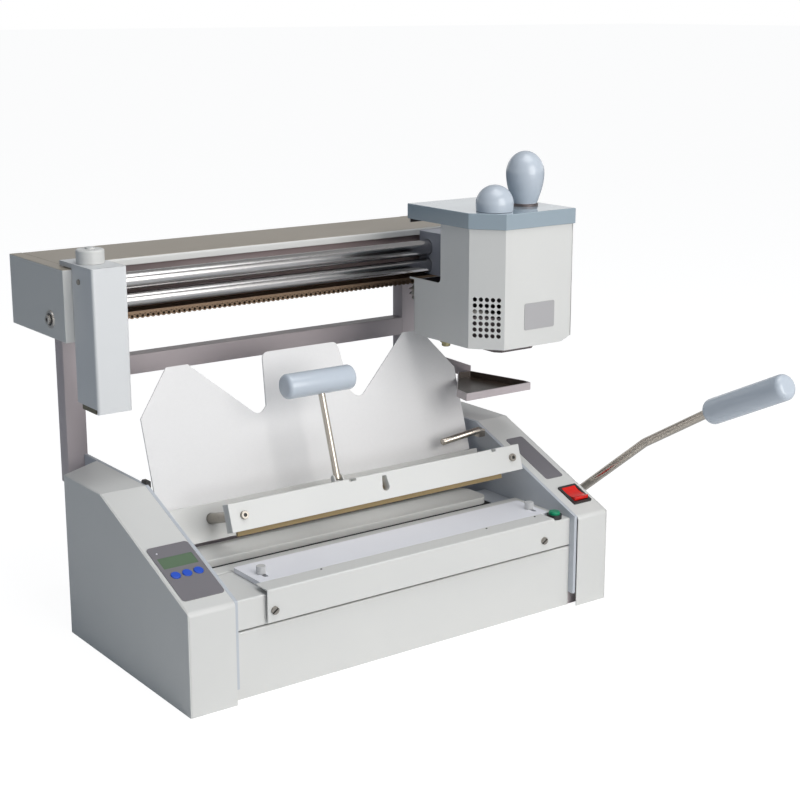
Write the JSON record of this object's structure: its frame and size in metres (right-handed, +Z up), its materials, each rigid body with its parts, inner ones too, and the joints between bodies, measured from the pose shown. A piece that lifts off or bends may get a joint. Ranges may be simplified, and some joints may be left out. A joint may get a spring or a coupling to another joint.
{
  "type": "desktop glue binding machine",
  "caption": "Desktop glue binding machine with a sliding glue head on a chain beam, a tilting book clamp, a nip station and a side lever.",
  "frame": {"origin": "on the table under the middle of the base, where the base pan rests", "axes": "+X right along the beam, +Y from the front to the back, +Z up"},
  "size_m": [0.578, 0.6267, 0.51],
  "materials": {
    "case_paint": "satin",
    "plate_grey": "satin",
    "frame_mauve": "satin",
    "chrome": "polished",
    "steel": "satin",
    "bronze_brown": "satin",
    "tank_metal": "satin",
    "grip_grey": "gloss",
    "white_plastic": "gloss",
    "black_plastic": "matte",
    "display_green": "gloss",
    "blue_plastic": "gloss",
    "red_plastic": "gloss",
    "green_plastic": "gloss",
    "pad_rubber": "matte"
  },
  "bodies": {
    "base": {"base_pan": "frame_mauve", "side_panel_left": "case_paint", "side_panel_right": "case_paint", "cabinet_cover_left": "case_paint", "cabinet_cover_right": "case_paint", "inner_plate_left": "plate_grey", "inner_plate_right": "plate_grey", "rear_panel": "frame_mauve", "power_inlet": "black_plastic", "front_panel": "case_paint", "table_top": "case_paint", "front_rail": "case_paint", "front_nip_bar": "case_paint", "nip_channel": "case_paint", "column_left": "frame_mauve", "column_right": "frame_mauve", "crossbar": "frame_mauve", "beam_end_left": "case_paint", "beam_end_right": "case_paint", "beam_cover": "case_paint", "beam_spine": "case_paint", "guide_shafts": "chrome", "chain_bar": "bronze_brown", "drive_chain": "bronze_brown", "control_plate": "frame_mauve", "display_window": "display_green", "switch_bezel": "black_plastic", "drip_tray": "frame_mauve", "rest_bar": "chrome", "button_collar": "black_plastic", "case_screws": "steel"},
    "head": {"head_housing": "case_paint", "head_carrier": "frame_mauve", "glue_tank": "tank_metal"},
    "lid": {"head_lid": "grip_grey", "push_handle": "grip_grey"},
    "ball_knob": {"ball_knob": "grip_grey"},
    "sprocket": {"drive_sprocket": "steel"},
    "roller": {"glue_roller": "steel"},
    "carriage": {"carriage_body": "case_paint"},
    "cutter": {"milling_cutter": "steel"},
    "cap_knob": {"cap_knob": "grip_grey"},
    "clamp": {"backing_plate": "case_paint", "back_jaw": "case_paint"},
    "front_jaw": {"front_jaw": "case_paint", "jaw_pad": "pad_rubber", "guide_pins": "chrome"},
    "clamp_handle": {"clamp_handle_rod": "chrome", "clamp_handle_grip": "grip_grey"},
    "lever": {"lever_rod": "chrome", "lever_grip": "grip_grey"},
    "nip_plate": {"nip_plate": "case_paint"},
    "fence": {"fence_plate": "white_plastic"},
    "thumb_screw_left": {"thumb_screw_left": "steel"},
    "thumb_screw_right": {"thumb_screw_right": "steel"},
    "rocker": {"power_rocker": "red_plastic"},
    "green_button": {"green_button": "green_plastic"},
    "blue_button_1": {"blue_button_1": "blue_plastic"},
    "blue_button_2": {"blue_button_2": "blue_plastic"},
    "blue_button_3": {"blue_button_3": "blue_plastic"}
  },
  "joints": [
    {"name": "head_slide", "type": "slide", "parent": "base", "child": "head", "axis": [1, 0, 0], "range_m": [-0.345, 0]},
    {"name": "lid_hinge", "type": "hinge", "parent": "head", "child": "lid", "pos_m": [0.2075, 0.0416, 0.4303], "axis": [-1, 0, 0], "range_deg": [0, 80]},
    {"name": "ball_knob_turn", "type": "hinge", "parent": "lid", "child": "ball_knob", "pos_m": [0.1815, -0.076, 0.45], "axis": [0, 0, 1], "range_deg": [-180, 180]},
    {"name": "sprocket_spin", "type": "hinge", "parent": "head", "child": "sprocket", "pos_m": [0.1975, 0.086, 0.33373], "axis": [0, 1, 0], "continuous": true},
    {"name": "roller_spin", "type": "hinge", "parent": "head", "child": "roller", "pos_m": [0.1975, -0.05, 0.30973], "axis": [0, 1, 0], "continuous": true},
    {"name": "carriage_slide", "type": "slide", "parent": "base", "child": "carriage", "axis": [1, 0, 0], "range_m": [0, 0.018]},
    {"name": "cutter_spin", "type": "hinge", "parent": "carriage", "child": "cutter", "pos_m": [-0.24275, 0.046, 0.258], "axis": [0, 0, 1], "continuous": true},
    {"name": "cap_knob_turn", "type": "hinge", "parent": "carriage", "child": "cap_knob", "pos_m": [-0.2445, 0.062, 0.415], "axis": [0, 0, 1], "range_deg": [-180, 180]},
    {"name": "clamp_swing", "type": "hinge", "parent": "base", "child": "clamp", "pos_m": [0.0041, -0.00766, 0.13016], "axis": [-1, 0, 0], "range_deg": [0, 30]},
    {"name": "jaw_slide", "type": "slide", "parent": "clamp", "child": "front_jaw", "axis": [0, 0.9511, -0.309], "range_m": [0, 0.045]},
    {"name": "clamp_handle_swing", "type": "hinge", "parent": "front_jaw", "child": "clamp_handle", "pos_m": [-0.0225, -0.06015, 0.17088], "axis": [1, 0, 0], "range_deg": [0, 70]},
    {"name": "lever_press", "type": "hinge", "parent": "base", "child": "lever", "pos_m": [0.2475, -0.066, 0.076], "axis": [1, 0, 0], "range_deg": [0, 38]},
    {"name": "nip_slide", "type": "slide", "parent": "base", "child": "nip_plate", "axis": [0, -1, 0], "range_m": [0, 0.0092]},
    {"name": "fence_slide", "type": "slide", "parent": "base", "child": "fence", "axis": [0, 1, 0], "range_m": [0, 0.008]},
    {"name": "thumb_screw_left_turn", "type": "hinge", "parent": "base", "child": "thumb_screw_left", "pos_m": [-0.1605, -0.126, 0.105], "axis": [0, 0, 1], "range_deg": [-180, 180]},
    {"name": "thumb_screw_right_turn", "type": "hinge", "parent": "base", "child": "thumb_screw_right", "pos_m": [0.1975, -0.126, 0.105], "axis": [0, 0, 1], "range_deg": [-180, 180]},
    {"name": "rocker_tilt", "type": "hinge", "parent": "base", "child": "rocker", "pos_m": [0.2524, -0.14199, 0.1208], "axis": [1, 0, 0], "range_deg": [0, 20]},
    {"name": "green_button_press", "type": "slide", "parent": "base", "child": "green_button", "axis": [0, 0, -1], "range_m": [0, 0.003], "stiffness_N_per_m": 200},
    {"name": "blue_button_1_press", "type": "slide", "parent": "base", "child": "blue_button_1", "axis": [0, 0.3759, -0.9266], "range_m": [0, 0.0008], "stiffness_N_per_m": 300},
    {"name": "blue_button_2_press", "type": "slide", "parent": "base", "child": "blue_button_2", "axis": [0, 0.3759, -0.9266], "range_m": [0, 0.0008], "stiffness_N_per_m": 300},
    {"name": "blue_button_3_press", "type": "slide", "parent": "base", "child": "blue_button_3", "axis": [0, 0.3759, -0.9266], "range_m": [0, 0.0008], "stiffness_N_per_m": 300}
  ],
  "couplings": [
    {"joint": "sprocket_spin", "follows": "head_slide", "rad_per_m": -82.457},
    {"joint": "roller_spin", "follows": "head_slide", "rad_per_m": 82.457},
    {"joint": "nip_slide", "follows": "lever_press", "m_per_rad": 0.01357}
  ]
}
